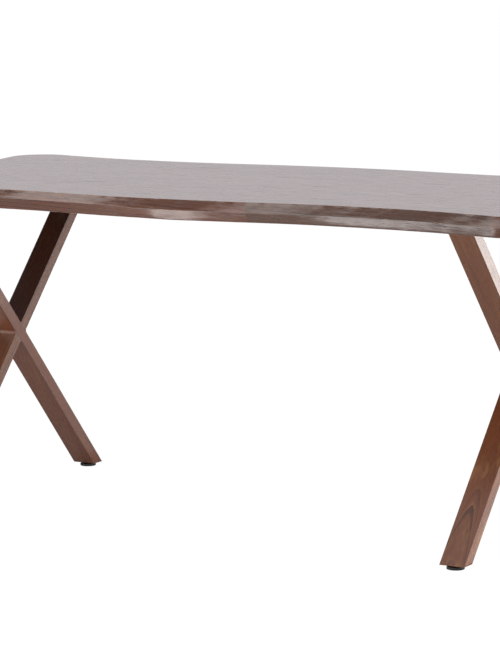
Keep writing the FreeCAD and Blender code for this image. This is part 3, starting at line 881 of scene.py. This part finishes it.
def makePad(corner, material):
    node = "foot_pad_" + corner
    low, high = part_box(node)
    steps = footSet["padSteps"]
    bm = bmesh.new()
    line = drawLine(bm, footSet["pad"], low.z)
    bmesh.ops.spin(
        bm, geom=line, cent=(0, 0, 0), axis=(0, 0, 1), angle=2 * math.pi, steps=steps, use_merge=True
    )
    bmesh.ops.remove_doubles(bm, verts=bm.verts, dist=footSet["padWeld"])
    for vert in bm.verts:
        place = round(math.atan2(vert.co.y, vert.co.x) / (2 * math.pi) * steps)
        if vert.co.xy.length > footSet["rim"] and place % footSet["fluteEvery"] == 0:
            vert.co.xy *= footSet["flute"]
    standAt(bm, low, high)
    finishPiece("grip_" + corner, bm, material, "pad_" + corner, [node])


def makeStud(corner, material):
    node = "foot_stud_" + corner
    low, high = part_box(node)
    pitch, steps = footSet["pitch"], footSet["threadSteps"]
    turns = math.ceil((high.z - low.z) / pitch) + footSet["spareTurns"]
    bm = bmesh.new()
    line = drawLine(bm, footSet["thread"], low.z - footSet["leadTurns"] * pitch)
    bmesh.ops.spin(
        bm, geom=line, cent=(0, 0, 0), axis=(0, 0, 1), dvec=(0, 0, pitch / steps),
        angle=2 * math.pi * turns, steps=steps * turns,
    )
    bmesh.ops.remove_doubles(bm, verts=bm.verts, dist=footSet["threadWeld"])
    for z, way in ((low.z, -1), (high.z, 1)):
        whole = [*bm.verts, *bm.edges, *bm.faces]
        cut = bmesh.ops.bisect_plane(
            bm, geom=whole, plane_co=(0, 0, z), plane_no=(0, 0, way), clear_outer=True
        )
        rim = [edge for edge in cut["geom_cut"] if isinstance(edge, bmesh.types.BMEdge)]
        bmesh.ops.edgeloop_fill(bm, edges=rim)
    standAt(bm, low, high)
    finishPiece("thread_" + corner, bm, material, "stud_" + corner, [node])


for corner in footSet["corners"]:
    makePad(corner, plastic)
    makeStud(corner, zinc)
print("feet made")


# steel parts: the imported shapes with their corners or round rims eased, picked by edge length
steelSet = {"cornerAngle": 57, "easeSteps": 4, "weld": 0.000001}
easeSet = {
    "mounting_plate": {"offset": 0.0008, "length": (0.008, 2.0), "finish": powder, "slot": "plate_steel"},
    "front_leg_screws": {"offset": 0.0006, "length": (0.0, 0.002), "finish": zinc, "slot": "zinc_steel"},
    "back_leg_screws": {"offset": 0.0006, "length": (0.0, 0.002), "finish": zinc, "slot": "zinc_steel"},
    "top_bolts": {"offset": 0.0010, "length": (0.0, 0.002), "finish": zinc, "slot": "zinc_steel"},
    "top_washers": {"offset": 0.0003, "length": (0.0, 0.002), "finish": zinc, "slot": "zinc_steel"},
}


def makeSteel(node, rule):
    bm = cleanCopy(node, steelSet["weld"])
    bmesh.ops.recalc_face_normals(bm, faces=bm.faces)
    shortest, longest = rule["length"]
    sharp = math.radians(steelSet["cornerAngle"])
    rims = []
    for edge in bm.edges:
        isCorner = len(edge.link_faces) == 2 and edge.is_convex and edge.calc_face_angle(0) > sharp
        if isCorner and shortest < edge.calc_length() < longest:
            rims.append(edge)
    roundEdges(bm, rims, rule["offset"], steelSet["easeSteps"])
    finishPiece(node + "_eased", bm, rule["finish"], "table", [node])


for side in ("left", "right"):
    for part, rule in easeSet.items():
        makeSteel(f"{side}_{part}", rule)
print("steel made")


# pale floor, white surroundings and soft lamps
stageSet = {
    "floorSize": 160.0,
    "floor": shade(0.92, 0.92, 0.92),
    "floorPale": shade(0.94, 0.94, 0.94),
    "mottle": ((3.0, 3.0, 3.0), 2.0),
    "mottleShare": (0.5, 0.1),
    "white": 1.08,
    "shadowShare": 0.10,
    "glossyShare": 0.10,
    "ambient": 0.44,
    "mirrorFront": 0.16,
    "mirrorBack": 1.06,
    "mirrorEdgeX": (-0.82, -0.64),
    "mirrorEdgeY": (-0.2, 0.5),
    "air": shade(0.96, 0.95, 1.0),
}
lampSet = {
    "overhead": {"place": (-0.3, -2.2, 3.2), "aim": (0, 0, 0.5), "size": (3.6, 2.4), "glow": 1.2},
    "right_side": {"place": (3.0, 0.25, 0.85), "aim": (0.2, 0.0, 0.4), "size": (1.8, 1.6), "glow": 4.0},
    "front_low": {"place": (-0.8, -1.75, 0.72), "aim": (0.3, -0.4, 0.72), "size": (2.7, 0.95),
                  "glow": 4.5, "diffuse": False},
    "right_back": {"place": (1.99, 2.33, 0.50), "aim": (0.69, -0.2, 0.5), "size": (1.4, 1.0),
                   "glow": 5.8, "diffuse": False},
    "back_fill": {"place": (-1.4, 3.2, 2.2), "aim": (0, 0, 0.4), "size": (2.6, 1.8),
                  "glow": 1.0, "glossy": False},
    "side_card": {"place": (1.00, 0.15, 0.01), "aim": (1.00, 0.15, 1), "size": (0.6, 1.5),
                  "glow": 0.7, "diffuse": False},
    "back_card": {"place": (-0.04, 1.15, 0.01), "aim": (-0.04, 1.15, 1), "size": (1.02, 1.55),
                  "glow": 0.50, "diffuse": False},
    "floor_lift": {"place": (-0.30, -1.10, 0.004), "aim": (-0.30, -1.10, 1), "size": (1.0, 0.54),
                   "glow": 4.3, "glossy": False},
    "floor_card": {"place": (-0.30, -1.10, 0.01), "aim": (-0.30, -1.10, 1), "size": (1.0, 0.54),
                   "glow": 7.0, "diffuse": False},
}


def rayKinds(flow):
    kinds = ("Is Camera Ray", "Is Glossy Ray", "Is Transmission Ray")
    return [flow.node("ShaderNodeLightPath", out=kind) for kind in kinds]


def makeStage():
    bm = bmesh.new()
    bmesh.ops.create_grid(bm, x_segments=2, y_segments=2, size=stageSet["floorSize"] / 2)
    mesh = bpy.data.meshes.new("floor")
    bm.to_mesh(mesh)
    bm.free()
    floor = bpy.data.objects.new("floor", mesh)
    scene.collection.objects.link(floor)
    material, flow, shader = newMaterial("floor_white")
    flow.tree.nodes.remove(shader)
    spot = flow.node("ShaderNodeTexCoord", out="Object")
    least, swing = stageSet["mottleShare"]
    mottle = least + swing * spot.noise(*stageSet["mottle"])
    pale = mottle.mix(stageSet["floor"], stageSet["floorPale"])
    plain = flow.node("ShaderNodeBsdfDiffuse", inputs={"Color": pale})
    glow = flow.node("ShaderNodeEmission", inputs={"Color": shade(1, 1, 1), "Strength": stageSet["white"]})
    seen, mirrored, through = rayKinds(flow)
    share = (seen + through) * (1 - stageSet["shadowShare"]) + mirrored * stageSet["glossyShare"]
    mixed = flow.node("ShaderNodeMixShader", inputs={0: share, 1: plain, 2: glow})
    # seen from below, the floor lets the underside through
    below = flow.node("ShaderNodeNewGeometry", out="Backfacing")
    clear = flow.node("ShaderNodeBsdfTransparent")
    mixed = flow.node("ShaderNodeMixShader", inputs={0: below, 1: mixed, 2: clear})
    flow.feed(flow.tree.nodes["Material Output"], {"Surface": mixed})
    mesh.materials.append(material)


def makeWorld():
    world = bpy.data.worlds.new("studio")
    scene.world = world
    world.use_nodes = True
    flow = Flow(world.node_tree)
    seen, mirrored, through = rayKinds(flow)
    # polished faces mirror a bright patch behind the table and dim surroundings elsewhere
    way = flow.node("ShaderNodeTexCoord", out="Generated")
    inside = flow.node("ShaderNodeSeparateXYZ", inputs={0: way}, out=0).step(*stageSet["mirrorEdgeX"])
    backward = flow.node("ShaderNodeSeparateXYZ", inputs={0: way}, out=1).step(*stageSet["mirrorEdgeY"])
    extra = stageSet["mirrorBack"] - stageSet["mirrorFront"]
    mirror = stageSet["mirrorFront"] + extra * backward * inside
    lit = stageSet["ambient"] * (1 - seen - mirrored - through)
    strength = lit + (seen + through) * stageSet["white"] + mirrored * mirror
    flow.feed(world.node_tree.nodes["Background"], {"Color": stageSet["air"], "Strength": strength})


def makeLamp(name, lamp):
    data = bpy.data.lights.new(name, "AREA")
    data.shape = "RECTANGLE"
    data.size, data.size_y = lamp["size"]
    data.energy = lamp["glow"] * math.pi * data.size * data.size_y
    light = bpy.data.objects.new(name, data)
    scene.collection.objects.link(light)
    look = Vector(lamp["aim"]) - Vector(lamp["place"])
    turn = look.to_track_quat("-Z", "Y").to_matrix().to_4x4()
    light.matrix_world = Matrix.Translation(lamp["place"]) @ turn
    light.visible_camera = False
    light.visible_diffuse = lamp.get("diffuse", True)
    light.visible_glossy = lamp.get("glossy", True)


makeStage()
makeWorld()
for name, lamp in lampSet.items():
    makeLamp(name, lamp)
print("stage lit")
